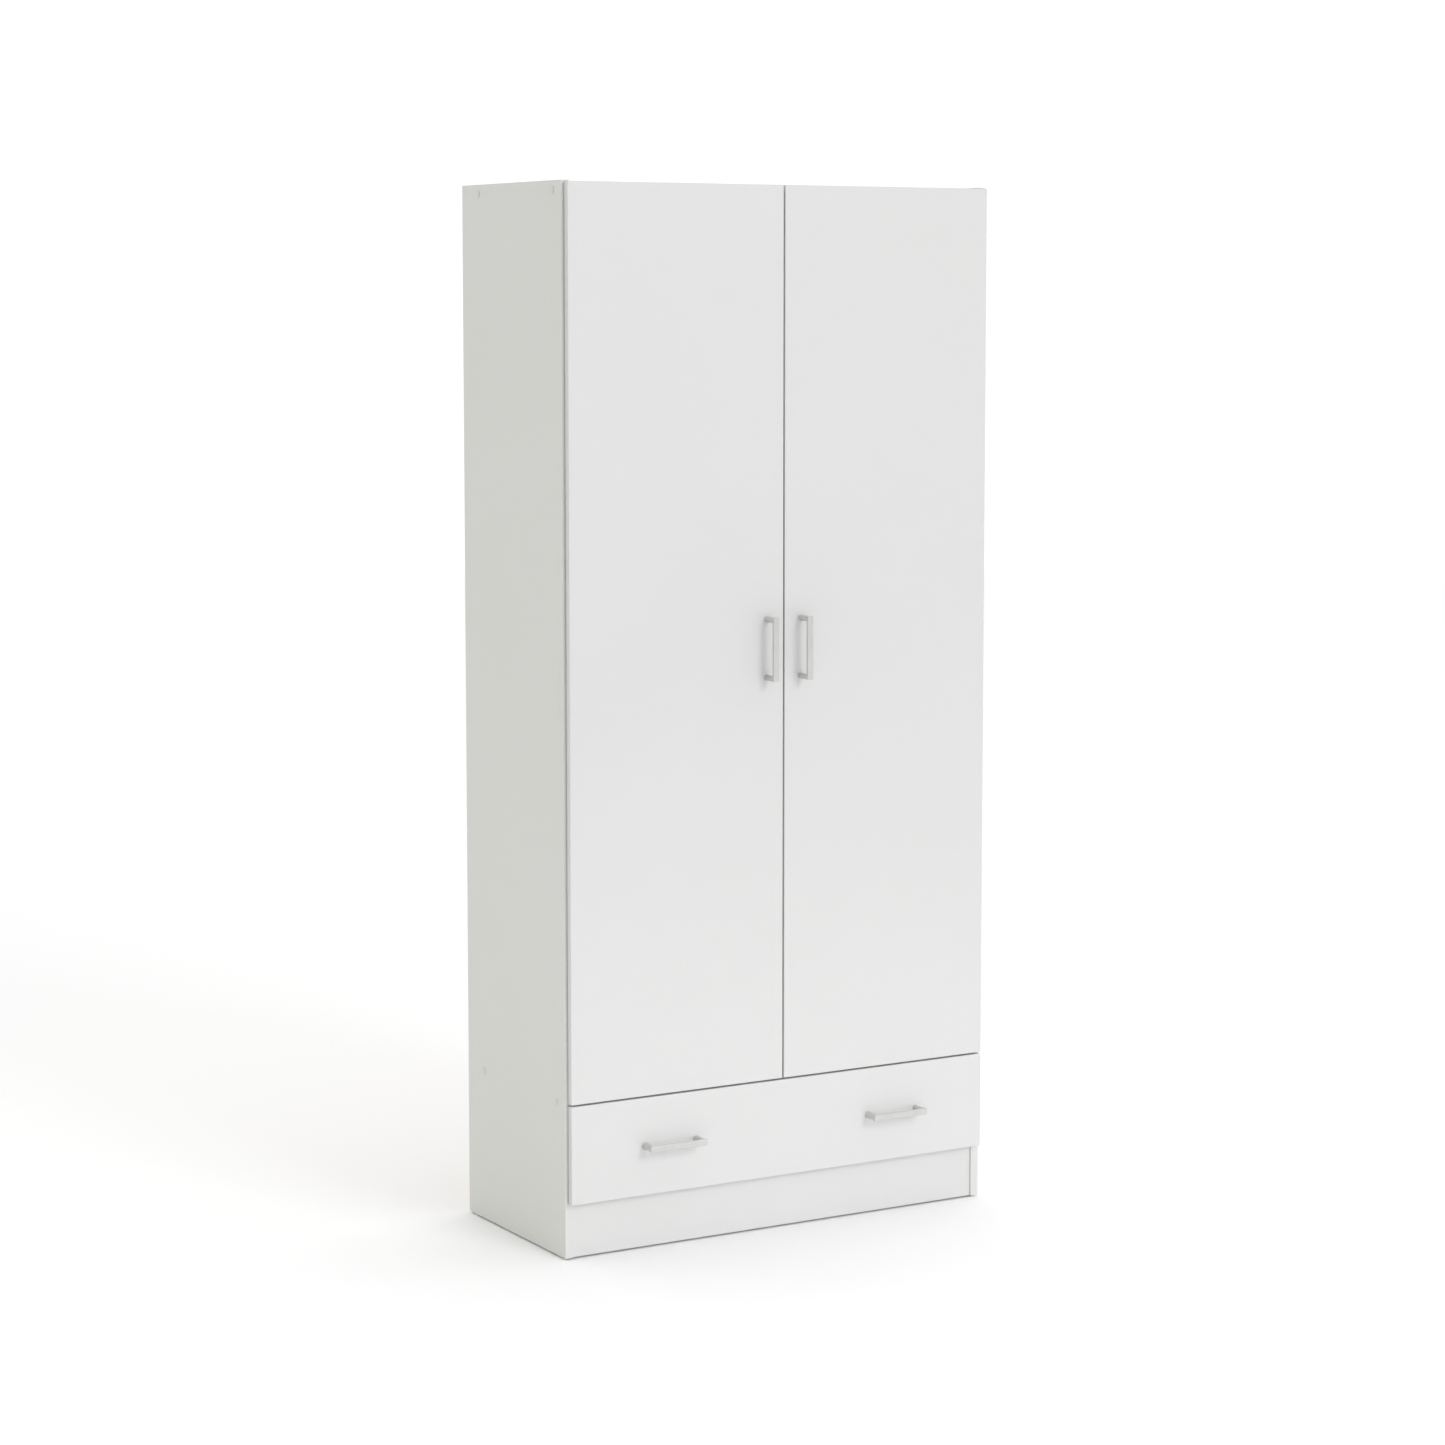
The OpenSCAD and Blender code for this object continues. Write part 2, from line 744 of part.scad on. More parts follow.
module handle_leg() {
    square([leg_t, handle_w - 2 * leg_round], center = true);
    square([leg_t - 2 * leg_round, handle_w], center = true);
    for (x = [-1, 1], z = [-1, 1])
        translate([x * (leg_t / 2 - leg_round), z * (handle_w / 2 - leg_round)]) circle(r = leg_round);
}

module handle_holes(r) {
    for (s = [-1, 1]) translate([s * handle_cc / 2, door_back_y + cut, 0]) to_front()
        cylinder(r = r, h = door_t + handle_screw_grip + cut + slack);
}

module handle_screws() {
    color(steel) for (s = [-1, 1]) translate([s * handle_cc / 2, door_back_y, 0]) to_front() {
        cylinder(r = handle_screw_r, h = door_t + handle_screw_grip);
        domed_head(handle_top_r, handle_head_r, handle_head_t) cross(handle_recess, handle_recess_t);
    }
}

module cup_screws() {
    color(steel) at_cup_screws() flat_screw(cup_screw_len, flange_t);
}

module door_bumpers() {
    color(nylon) for (z = [door_z0 + bumper_up, top_z + board_t / 2])
        translate([-bumper_x, door_back_y, z]) to_back() cylinder(r1 = bumper_r, r2 = bumper_top_r, h = bumper_t);
}

// Drawer ----------------------------------------------------------------------------

module drawer_front() {
    color(white) difference() {
        board([-door_edge, door_face_y, drawer_front_z], [door_edge, door_back_y, drawer_front_z + drawer_front_h]);
        bottom_slot([-box_x + box_t - groove_side, door_back_y - groove_front], [box_x - box_t + groove_side, door_back_y + cut]);
        both_sides() {
            at_drawer_handle() handle_holes(door_hole_r);
            at_lug_screws() screw_pilot(lug_screw_len);
        }
    }
}

// Slot for the drawer bottom, over a rectangle in plan
module bottom_slot(low, high) {
    z = box_z + groove_up;
    board([low[0], low[1], z], [high[0], high[1], z + bottom_t + 2 * groove_play]);
}

module drawer_side() {
    color(white) difference() {
        board([-box_x, door_back_y, box_z], [-box_x + box_t, box_rear, box_z + box_h]);
        bottom_slot([-box_x + box_t - groove_side, door_back_y - cut], [-box_x + box_t + cut, box_rear + cut]);
        at_drawer_runner_screws() screw_pilot(side_screw_len);
        at_box_screws() box_screw(slack);
    }
}

module drawer_back() {
    color(white) difference() {
        board([-box_x + box_t, box_rear - box_t, box_z + groove_up + bottom_t + 2 * groove_play],
              [box_x - box_t, box_rear, box_z + box_h]);
        both_sides() at_box_screws() box_screw(slack);
    }
}

module drawer_bottom() {
    reach = box_x - box_t + groove_side - 2 * groove_play;
    z = box_z + groove_up + groove_play;
    color(white) board([-reach, door_back_y - groove_front + groove_play, z], [reach, box_rear, z + bottom_t]);
}

// Countersunk screw along +Z, its head flush with the drawer side
module box_screw(grow = 0) {
    cylinder(r1 = box_screw_head_r + grow, r2 = box_screw_r + grow, h = box_screw_head_t);
    translate([0, 0, box_screw_head_t - grow]) cylinder(r = box_screw_r + grow, h = box_screw_len - box_screw_head_t + 2 * grow);
}

module drawer_screws() {
    color(steel) both_sides() {
        at_box_screws() difference() {
            box_screw();
            cross(recess, recess_t);
        }
        at_drawer_runner_screws() flat_screw(side_screw_len, sheet_t);
        at_lug_screws() fitting_screw(lug_screw_len);
    }
}

// Roller runners, left hand. The cabinet member is a channel with a roller at its
// front end. The drawer member wraps the box's lower edge and has a roller at its rear.
module runner_frame() {
    translate([-in_x, 0, box_z]) children();
}

module axle(len) {
    cylinder(r = axle_r, h = len);
    translate([0, 0, len]) cylinder(r = axle_head_r, h = axle_head_t);
}

module runner_cabinet() {
    y0 = case_y + runner_setback;
    y1 = y0 + channel_len;
    color(white) runner_frame() {
        difference() {
            board([0, y0, -sheet_t], [sheet_t, y1, channel_top + sheet_t]);
            for (y = runner_screw_ys) translate([-cut, y, rear_roller_up]) to_right() cylinder(r = fitting_hole_r, h = sheet_t + 2 * cut);
        }
        board([0, y0, -sheet_t], [channel_w, y1, 0]);
        board([0, front_roller_y + front_cut, channel_top], [channel_w, y1, channel_top + sheet_t]);
        translate([0, front_roller_y, front_roller_up]) to_right() axle(front_roller_x + roller_w + axle_end);
    }
}

module runner_drawer() {
    y0 = door_back_y;
    y1 = box_rear;
    color(white) runner_frame() difference() {
        union() {
            board([runner_web, y0, -sheet_t], [runner_space, y1, flange_under + sheet_t]);
            board([runner_web, y0, -sheet_t], [runner_space + box_t, y1, 0]);
            board([flange_reach, y0, flange_under], [runner_space, y1, flange_under + sheet_t]);
            board([lug_reach, y0, lug_z[0]], [runner_space, y0 + sheet_t, lug_z[1]]);
            board([runner_web, y0, flange_under], [runner_space, y0 + lug_side, lug_z[1]]);
            translate([runner_web, rear_roller_y, rear_roller_up]) to_left() axle(runner_web - rear_roller_x + axle_end);
        }
        for (y = drawer_screw_ys) translate([runner_web - cut, y, drawer_screw_up]) to_right() cylinder(r = fitting_hole_r, h = sheet_t + cut);
        for (up = lug_screws) translate([lug_screw_x, y0 - cut, up]) to_back() cylinder(r = fitting_hole_r, h = sheet_t + 2 * cut);
    }
}

module roller() {
    difference() {
        cylinder(r = roller_r, h = roller_w);
        translate([0, 0, -cut]) cylinder(r = axle_r + axle_slack, h = roller_w + 2 * cut);
    }
}

module front_rollers() {
    color(nylon) both_sides() runner_frame()
        translate([front_roller_x, front_roller_y, front_roller_up]) to_right() roller();
}

module rear_rollers() {
    color(nylon) both_sides() runner_frame()
        translate([rear_roller_x, rear_roller_y, rear_roller_up]) to_right() roller();
}

// Nodes ---------------------------------------------------------------------------------

mirrored("left") side_panel();  // side_panel_left
mirrored("right") side_panel();  // side_panel_right
top_panel();
divider_shelf();
hat_shelf();
plinth_front();
plinth_rear();
plinth_dowels();
mirrored("left") back_panel();  // back_panel_left
mirrored("right") back_panel();  // back_panel_right
back_joint_strip();
back_nails();
confirmat_screws();
screw_caps();
floor_glides();
shelf_pins();
clothes_rail();
rail_brackets();
wall_brackets();
panel_screws();
mirrored("left") runner_cabinet();  // runner_cabinet_left
mirrored("right") runner_cabinet();  // runner_cabinet_right
hinge_plates();
for (side = ["left", "right"], n = [1:3]) {
    mirrored(side) hinge_arm(n);
    mirrored(side) hinge_cup(n);
}
for (side = ["left", "right"]) {
    mirrored(side) hinge_links();
    mirrored(side) door();
    mirrored(side) at_door_handle() handle();
    mirrored(side) at_door_handle() handle_screws();
    mirrored(side) cup_screws();
    mirrored(side) door_bumpers();
    mirrored(side) drawer_side();
    mirrored(side) at_drawer_handle() handle();
    mirrored(side) runner_drawer();
}
drawer_front();
drawer_back();
drawer_bottom();
both_sides() at_drawer_handle() handle_screws();  // drawer_handle_screws
drawer_screws();
front_rollers();
rear_rollers();
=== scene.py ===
"""A white two-door wardrobe with one drawer: finished boards, fittings and a plain studio.

Lengths are in metres. +Z is up, the doors face -Y and +X is to the right seen from the front.
"""

import json
import math

import bmesh
import bpy
from bpy.props import (
    FloatProperty,
    FloatVectorProperty,
    IntProperty,
    PointerProperty,
)
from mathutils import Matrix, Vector


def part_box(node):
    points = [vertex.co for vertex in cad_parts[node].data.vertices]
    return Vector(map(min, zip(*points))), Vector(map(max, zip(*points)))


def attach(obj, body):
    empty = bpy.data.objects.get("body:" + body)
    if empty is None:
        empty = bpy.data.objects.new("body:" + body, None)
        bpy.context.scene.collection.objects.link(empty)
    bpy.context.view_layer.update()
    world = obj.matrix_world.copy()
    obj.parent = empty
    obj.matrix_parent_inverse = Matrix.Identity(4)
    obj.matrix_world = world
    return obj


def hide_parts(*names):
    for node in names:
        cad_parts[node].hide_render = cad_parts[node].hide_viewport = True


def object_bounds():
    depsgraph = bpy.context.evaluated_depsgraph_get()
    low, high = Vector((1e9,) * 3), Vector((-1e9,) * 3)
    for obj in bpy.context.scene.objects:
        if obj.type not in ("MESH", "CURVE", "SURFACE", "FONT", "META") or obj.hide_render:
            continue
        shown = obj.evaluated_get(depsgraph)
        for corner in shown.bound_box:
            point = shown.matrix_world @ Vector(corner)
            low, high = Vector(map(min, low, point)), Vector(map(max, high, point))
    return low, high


bl_info = {
    "name": "Two-door wardrobe",
    "version": (1, 0, 0),
    "blender": (4, 5, 0),
    "location": "3D View > Sidebar > Wardrobe",
    "description": "Finishes the boards and fittings of a two-door wardrobe with a drawer",
    "category": "Object",
}

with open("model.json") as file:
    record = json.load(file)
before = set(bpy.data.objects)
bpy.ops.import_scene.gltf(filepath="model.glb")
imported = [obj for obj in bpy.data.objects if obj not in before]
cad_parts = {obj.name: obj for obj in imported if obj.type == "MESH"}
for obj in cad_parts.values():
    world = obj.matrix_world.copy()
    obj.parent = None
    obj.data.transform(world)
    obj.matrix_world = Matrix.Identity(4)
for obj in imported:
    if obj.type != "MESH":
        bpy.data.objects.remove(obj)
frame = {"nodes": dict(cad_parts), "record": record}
CAD_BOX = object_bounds()
BODY_OF = {
    node: body
    for body, nodes in frame["record"]["behaviour"]["bodies"].items()
    for node in nodes
}
HANDS = ("left", "right")
HINGES = (1, 2, 3)

# Names of a board's six sides: axis and direction
LEFT, RIGHT, FRONT, BACK, BOTTOM, TOP = (0, -1), (0, 1), (1, -1), (1, 1), (2, -1), (2, 1)

# Material slots of a board: its two big sides, an edge with a band, and bare board
FACE, BAND, BARE = range(3)

# Corners closer than WELD are one, and what is closer than ON_SIDE to a side of the box is on it
WELD = 1e-6
ON_SIDE = 1e-4
# Faces that meet at less than FLAT_ANGLE are one, edges above CORNER_ANGLE are softened, and
# edges above CREASE_ANGLE are shaded sharp
FLAT_ANGLE = math.radians(0.5)
CORNER_ANGLE = math.radians(40)
CREASE_ANGLE = math.radians(50)
ROUND_PROFILE = 0.5

# Most of a noise texture lies between these
NOISE_SPAN = (0.3, 0.7)
# Sockets of a Mix node that blends colours
MIX_FIRST, MIX_SECOND, MIX_RESULT = 6, 7, 2

# Parts of the surround: towards where, and the cosines at which each begins and is full
BEHIND = ((0.5, 0.86, 0), -0.6, 0.35)
ON_THE_LEFT = ((-1, 0, 0), 0.2, 0.95)
OVERHEAD = ((0, 0, 1), 0.1, 0.9)
WHITE, BLACK = (1.0, 1.0, 1.0), (0.0, 0.0, 0.0)

FLOOR_CORNERS = 96
SENSOR_WIDTH = 36


# ------------------------------------------------------------------ settings


def colour(name, description, default):
    return FloatVectorProperty(
        name=name, description=description, default=default, subtype="COLOR", size=3, min=0, max=1
    )


def length(name, description, default, largest=0.01):
    return FloatProperty(
        name=name, description=description, default=default, unit="LENGTH", min=0, max=largest
    )


def share(name, description, default):
    return FloatProperty(
        name=name, description=description, default=default, subtype="FACTOR", min=0, max=1
    )


class BoardSettings(bpy.types.PropertyGroup):
    """Colours and edges of the boards and panels."""

    front_colour: colour(
        "Fronts", "Melamine face of the doors and the drawer front", (0.70, 0.70, 0.70)
    )
    # The carcass colour's slight green tint is partly the melamine's own colour and partly painted
    # shade: the tint of the shaded sides.
    carcass_colour: colour(
        "Carcass", "Melamine face of the sides and the boards inside", (0.70, 0.707, 0.668)
    )
    band_colour: colour("Edge band", "Edging strip glued to the boards' edges", (0.70, 0.70, 0.69))
    lacquer_colour: colour(
        "Lacquer", "Lacquered inner face of the thin panels", (0.70, 0.70, 0.685)
    )
    foil_colour: colour(
        "Drawer foil", "Foil round the drawer's sides and back", (0.70, 0.70, 0.69)
    )
    chip_colour: colour("Chips", "Wood chips in the boards' cut edges", (0.50, 0.35, 0.20))
    fibre_colour: colour("Fibreboard", "Bare rear face of the thin panels", (0.40, 0.33, 0.26))
    beech_colour: colour("Dowels", "Beech of the dowels", (0.60, 0.40, 0.21))
    arris: length("Arris", "Width of the softened edge of a board", 0.0005)
    front_arris: length(
        "Front arris", "Width of the softened edge of a door or drawer front", 0.0009
    )
    thin_arris: length("Thin arris", "Width of the softened edge of a thin panel", 0.0002)
    pebble_depth: length(
        "Pebble depth", "Depth of the melamine's fine texture", 0.00007, largest=0.001
    )


class FittingSettings(bpy.types.PropertyGroup):
    """Colours, roughness and edges of the fittings."""

    handle_colour: colour("Handles", "Satin nickel of the handles", (0.64, 0.64, 0.635))
    handle_roughness: share("Handle roughness", "Roughness of the satin nickel", 0.30)
    handle_arris: length("Handle arris", "Width of a handle's rounded edge", 0.0008)
    nickel_colour: colour("Hinges", "Nickel plate of the hinges and brackets", (0.62, 0.60, 0.57))
    zinc_colour: colour("Screws", "Bright zinc plate of screws and nails", (0.66, 0.67, 0.69))
    rail_colour: colour("Clothes rail", "Chrome plate of the clothes rail", (0.80, 0.81, 0.82))
    enamel_colour: colour("Runners", "Baked enamel of the drawer runners", (0.80, 0.80, 0.80))
    nylon_colour: colour("Rollers", "Nylon of the drawer rollers", (0.74, 0.73, 0.70))
    plastic_colour: colour("Plastic", "White plastic of the back strip", (0.80, 0.80, 0.79))
    # The caps copy the carcass colour, so their green tint is partly painted shade as well.
    cap_colour: colour(
        "Caps", "Plastic of the screw caps, matched to the sides", (0.68, 0.687, 0.65)
    )
    milky_colour: colour(
        "Clear plastic", "Milky plastic of glides, pins and bumpers", (0.80, 0.81, 0.82)
    )
    steel_arris: length("Steel arris", "Width of the softened edge of pressed steel", 0.0002)
    small_arris: length("Small arris", "Width of the softened edge of a screw or nail", 0.0001)
    steps: IntProperty(
        name="Steps", description="Facets across a rounded edge", default=2, min=1, max=6
    )


class StudioSettings(bpy.types.PropertyGroup):
    """Floor, light and camera."""

    eye: FloatVectorProperty(
        name="Camera place",
        description="Where the camera stands",
        default=(-2.9938, -5.0756, 1.5655),
        subtype="TRANSLATION",
        size=3,
    )
    heading: FloatProperty(
        name="Heading",
        description="Turn of the camera from straight ahead towards the right",
        default=0.5302,
        unit="ROTATION",
    )
    tilt: FloatProperty(
        name="Tilt", description="Camera tilt above the horizon", default=-0.1008, unit="ROTATION"
    )
    lens: FloatProperty(
        name="Lens", description="Focal length in millimetres", default=86.51, unit="CAMERA"
    )
    shift: FloatProperty(
        name="Shift", description="Vertical shift of the camera's frame", default=-0.05
    )
    floor_colour: colour("Floor", "Colour of the floor", (0.98, 0.98, 0.98))
    # Painted light: from floor_near to floor_far the floor pales into rim_colour, so its far part
    # looks as bright as the white surround.
    rim_colour: colour("Floor rim", "Colour of the floor towards its rim", WHITE)
    floor_near: FloatProperty(
        name="Near floor", description="Where the floor starts to pale", default=2.5, unit="LENGTH"
    )
    floor_far: FloatProperty(
        name="Far floor",
        description="Where the floor has its rim's colour",
        default=6,
        unit="LENGTH",
    )
    floor_radius: FloatProperty(
        name="Floor radius", description="Radius of the round floor", default=14, unit="LENGTH"
    )
    sky_level: FloatProperty(
        name="Surround", description="Brightness of the surround behind", default=1.06, min=0
    )
    front_level: share(
        "Front", "Brightness of the surround in front, as a share of that behind", 0.46
    )
    left_colour: colour(
        "Left", "Tint of the surround on the wardrobe's left", (0.865, 0.87, 0.855)
    )
    zenith_level: FloatProperty(
        name="Ceiling", description="Brightness added overhead", default=0.24, min=0
    )
    key_power: FloatProperty(
        name="Key power", description="Power of the key light", default=176, unit="POWER", min=0
    )
    key_size: FloatProperty(
        name="Key size", description="Side of the square key light", default=2.9, unit="LENGTH"
    )
    key_place: FloatVectorProperty(
        name="Key place",
        description="Where the key light hangs",
        default=(1.67, -7.6, 4.35),
        subtype="TRANSLATION",
        size=3,
    )
    fill_power: FloatProperty(
        name="Fill power",
        description="Power of the low fill light",
        default=0.75,
        unit="POWER",
        min=0,
    )
    fill_place: FloatVectorProperty(
        name="Fill place",
        description="Where the low fill light stands",
        default=(-0.15, -2.5, 0.28),
        subtype="TRANSLATION",
        size=3,
    )
    fill_width: FloatProperty(
        name="Fill width", description="Width of the low fill light", default=1.6, unit="LENGTH"
    )
    fill_height: FloatProperty(
        name="Fill height", description="Height of the low fill light", default=0.3, unit="LENGTH"
    )
    fill_spread: FloatProperty(
        name="Fill spread",
        description="Angle of the low fill light's beam",
        default=math.radians(46),
        unit="ROTATION",
    )


# ------------------------------------------------------------------ materials


class Finish:
    """A material whose textures lie in the piece's own space, in metres."""

    def __init__(self, name, surface):
        self.material = bpy.data.materials.new(name)
        self.material.use_nodes = True
        self.tree = self.material.node_tree
        self.surface = self.tree.nodes["Principled BSDF"]
        for socket, value in surface.items():
            self.surface.inputs[socket].default_value = value
        self.space = self.node("ShaderNodeTexCoord").outputs["Object"]

    def node(self, kind, inputs=(), **settings):
        made = self.tree.nodes.new(kind)
        for name, value in settings.items():
            setattr(made, name, value)
        for socket, value in dict(inputs).items():
            if isinstance(value, bpy.types.NodeSocket):
                self.tree.links.new(value, made.inputs[socket])
            else:
                made.inputs[socket].default_value = value
        return made

    def stretched(self, stretch):
        return self.node("ShaderNodeMapping", {"Vector": self.space, "Scale": stretch}).outputs[0]

    def noise(self, scale, stretch=(1, 1, 1), detail=3.0, rough=0.5, warp=0.0):
        """scale is in spots to the metre, and a stretch below 1 draws them out along that axis."""
        inputs = {
            "Vector": self.stretched(stretch),
            "Scale": scale,
            "Detail": detail,
            "Roughness": rough,
            "Distortion": warp,
        }
        return self.node("ShaderNodeTexNoise", inputs).outputs[0]

    def cells(self, scale, stretch=(1, 1, 1), output="Distance", feature="F1"):
        inputs = {"Vector": self.stretched(stretch), "Scale": scale}
        return self.node("ShaderNodeTexVoronoi", inputs, feature=feature).outputs[output]

    def between(self, value, low, high, start=0.0, end=1.0):
        """value from start to end, spread over low to high."""
        inputs = {
            "Value": value,
            "From Min": start,
            "From Max": end,
            "To Min": low,
            "To Max": high,
        }
        return self.node("ShaderNodeMapRange", inputs).outputs[0]

    def plus(self, first, second):
        return self.node("ShaderNodeMath", {0: first, 1: second}, operation="ADD").outputs[0]

    def times(self, first, second):
        return self.node("ShaderNodeMath", {0: first, 1: second}, operation="MULTIPLY").outputs[0]

    def blend(self, share_of_second, first, second):
        inputs = {"Factor": share_of_second, MIX_FIRST: rgba(first), MIX_SECOND: rgba(second)}
        return self.node("ShaderNodeMix", inputs, data_type="RGBA").outputs[MIX_RESULT]

    def bump(self, height, depth):
        inputs = {"Height": height, "Distance": depth, "Strength": 1.0}
        return self.node("ShaderNodeBump", inputs).outputs[0]

    def wear(self, **sockets):
        """Links results to the surface's sockets: colour, roughness, normal."""
        names = {"colour": "Base Color", "roughness": "Roughness", "normal": "Normal"}
        for key, value in sockets.items():
            self.tree.links.new(value, self.surface.inputs[names[key]])
        return self.material


def rgba(value):
    return value if isinstance(value, bpy.types.NodeSocket) else (*value, 1.0)


def tinted(base, factor, warm=0.0):
    """base made lighter or darker, and warmer where warm is above 0."""
    shift = (1 + warm, 1.0, 1 - warm)
    return tuple(min(1.0, c * factor * s) for c, s in zip(base, shift))


def melamine(name, base, depth):
    """Melamine paper pressed on a board: faint clouding and a fine pebbled skin."""
    f = Finish(name, {"IOR": 1.5})
    cloud = f.noise(2.6, detail=4)
    fine = f.noise(210, detail=5, rough=0.62)
    tone = f.between(f.plus(cloud, f.times(fine, 0.35)), 0, 1, 0.35, 1.0)
    pebble = f.noise(820, detail=2, rough=0.6)
    pits = f.between(f.cells(640), 0, 1, 0.05, 0.45)
    relief = f.plus(pebble, f.times(pits, 0.4))
    return f.wear(
        colour=f.blend(tone, tinted(base, 0.985, 0.003), tinted(base, 1.012)),
        roughness=f.between(f.noise(420, detail=4), 0.40, 0.56, *NOISE_SPAN),
        normal=f.bump(relief, depth),
    )


def edge_band(name, base, depth):
    """Thin plastic strip: smoother than the faces, with fine marks of the scraper."""
    f = Finish(name, {"IOR": 1.48})
    cloud = f.noise(9, detail=3)
    marks = f.noise(260, detail=5, rough=0.7)
    return f.wear(
        colour=f.blend(cloud, tinted(base, 0.98, 0.004), tinted(base, 1.01)),
        roughness=f.between(marks, 0.32, 0.48, *NOISE_SPAN),
        normal=f.bump(marks, depth * 0.6),
    )


def chipboard(name, base):
    """Cut edge of chipboard: pale and dark chips lying flat, with pores between them."""
    f = Finish(name, {"IOR": 1.45})
    chips = f.cells(620, (1, 1, 2.2), "Color")
    pick = f.node("ShaderNodeSeparateColor", {"Color": chips}).outputs[0]
    fine = f.noise(1900, (1, 1, 2), detail=4, rough=0.7)
    edges = f.cells(620, (1, 1, 2.2), feature="F2")
    tone = f.blend(pick, tinted(base, 0.62), tinted(base, 1.5))
    tone = f.blend(f.between(fine, 0, 0.55, 0.35, 0.75), tone, tinted(base, 0.45))
    return f.wear(
        colour=tone,
        roughness=f.between(fine, 0.72, 0.95),
        normal=f.bump(f.plus(edges, fine), 0.0004),
    )


def fibreboard(name, base):
    """Bare hard fibreboard: felted short fibres with a faint screen pattern."""
    f = Finish(name, {"IOR": 1.45})
    fibres = f.noise(700, (1, 1, 0.22), detail=6, rough=0.75, warp=0.6)
    across = f.noise(620, (0.25, 1, 1), detail=5, rough=0.7, warp=0.5)
    cloud = f.noise(7, detail=4)
    felt = f.times(f.plus(fibres, across), 0.5)
    tone = f.blend(f.between(felt, 0, 1, 0.35, 0.65), tinted(base, 0.72), tinted(base, 1.35, 0.02))
    tone = f.blend(f.between(cloud, 0, 0.35, 0.35, 0.7), tone, tinted(base, 0.85))
    return f.wear(
        colour=tone, roughness=f.between(felt, 0.62, 0.85), normal=f.bump(felt, 0.00018)
    )


def lacquer(name, base):
    """Thin white lacquer on fibreboard, where the fibres still show as a slight relief."""
    f = Finish(name, {"IOR": 1.5})
    fibres = f.noise(520, (1, 1, 0.3), detail=5, rough=0.65)
    cloud = f.noise(4, detail=3)
    return f.wear(
        colour=f.blend(cloud, tinted(base, 0.975, 0.004), tinted(base, 1.01)),
        roughness=f.between(fibres, 0.36, 0.55, *NOISE_SPAN),
        normal=f.bump(fibres, 0.00005),
    )


def foil(name, base):
    """Paper foil wrapped round the drawer's boards, with a faint pressed grain."""
    f = Finish(name, {"IOR": 1.48})
    grain = f.noise(160, (1, 0.07, 1), detail=6, rough=0.6, warp=0.3)
    return f.wear(
        colour=f.blend(grain, tinted(base, 0.975, 0.003), tinted(base, 1.012)),
        roughness=f.between(grain, 0.42, 0.6, *NOISE_SPAN),
        normal=f.bump(grain, 0.00004),
    )


def satin_nickel(name, base, roughness, brush):
    """Brushed and plated: hair lines along the bar, a little cloud in the plate."""
    f = Finish(name, {"Metallic": 1.0})
    hairs = f.noise(2600, brush, detail=4, rough=0.7)
    cloud = f.noise(38, detail=3)
    tone = f.between(f.plus(hairs, f.times(cloud, 0.6)), 0, 1, 0.55, 1.05)
    return f.wear(
        colour=f.blend(tone, tinted(base, 0.93, 0.004), tinted(base, 1.06)),
        roughness=f.between(hairs, roughness - 0.06, roughness + 0.08, *NOISE_SPAN),
        normal=f.bump(hairs, 0.00003),
    )


def nickel_plate(name, base):
    """Nickel on pressed steel: soft sheet texture and slightly warm patches."""
    f = Finish(name, {"Metallic": 1.0})
    sheet = f.noise(1100, (1, 1, 0.3), detail=4, rough=0.6)
    cloud = f.noise(90, detail=4)
    return f.wear(
        colour=f.blend(cloud, tinted(base, 0.88, 0.03), tinted(base, 1.08)),
        roughness=f.between(f.plus(sheet, cloud), 0.32, 0.48, 0.7, 1.3),
        normal=f.bump(sheet, 0.00002),
    )


def zinc_plate(name, base):
    """Bright zinc: fine crystals with a cool and a yellowish cast."""
    f = Finish(name, {"Metallic": 1.0})
    crystals = f.cells(2300, output="Color")
    pick = f.node("ShaderNodeSeparateColor", {"Color": crystals}).outputs[0]
    cloud = f.noise(160, detail=3)
    tone = f.blend(pick, tinted(base, 0.85), tinted(base, 1.12))
    tone = f.blend(f.between(cloud, 0, 0.5, 0.45, 0.75), tone, tinted(base, 1.0, 0.06))
    return f.wear(
        colour=tone,
        roughness=f.between(pick, 0.24, 0.42),
        normal=f.bump(f.noise(3000, detail=2), 0.00002),
    )


def chrome_plate(name, base):
    """Polished chrome with drawing lines along the tube and a few hanger marks."""
    f = Finish(name, {"Metallic": 1.0})
    lines = f.noise(1500, (1, 0.02, 1), detail=5, rough=0.7)
    marks = f.noise(120, (0.4, 1, 1), detail=6, rough=0.75)
    return f.wear(
        colour=f.blend(lines, tinted(base, 0.95), tinted(base, 1.05)),
        roughness=f.between(f.plus(lines, marks), 0.07, 0.20, 0.8, 1.4),
        normal=f.bump(lines, 0.000008),
    )


def enamel(name, base):
    """Baked powder enamel: glossy, with a slight orange peel."""
    f = Finish(name, {"IOR": 1.5, "Coat Weight": 0.35, "Coat Roughness": 0.12})
    peel = f.noise(520, detail=2, rough=0.4)
    cloud = f.noise(22, detail=3)
    return f.wear(
        colour=f.blend(cloud, tinted(base, 0.965, 0.004), tinted(base, 1.01)),
        roughness=f.between(peel, 0.28, 0.42, *NOISE_SPAN),
        normal=f.bump(peel, 0.00006),
    )


def moulded(name, base, low, high, clear=0.0):
    """Moulded plastic with spark-eroded skin; clear lets light through."""
    surface = {
        "IOR": 1.49,
        "Transmission Weight": clear,
        "Subsurface Weight": 0.15,
        "Subsurface Radius": (0.002, 0.002, 0.002),
    }
    f = Finish(name, surface)
    skin = f.noise(2400, detail=2, rough=0.6)
    cloud = f.noise(70, detail=3)
    return f.wear(
        colour=f.blend(cloud, tinted(base, 0.965), tinted(base, 1.02)),
        roughness=f.between(skin, low, high, *NOISE_SPAN),
        normal=f.bump(skin, 0.00002),
    )


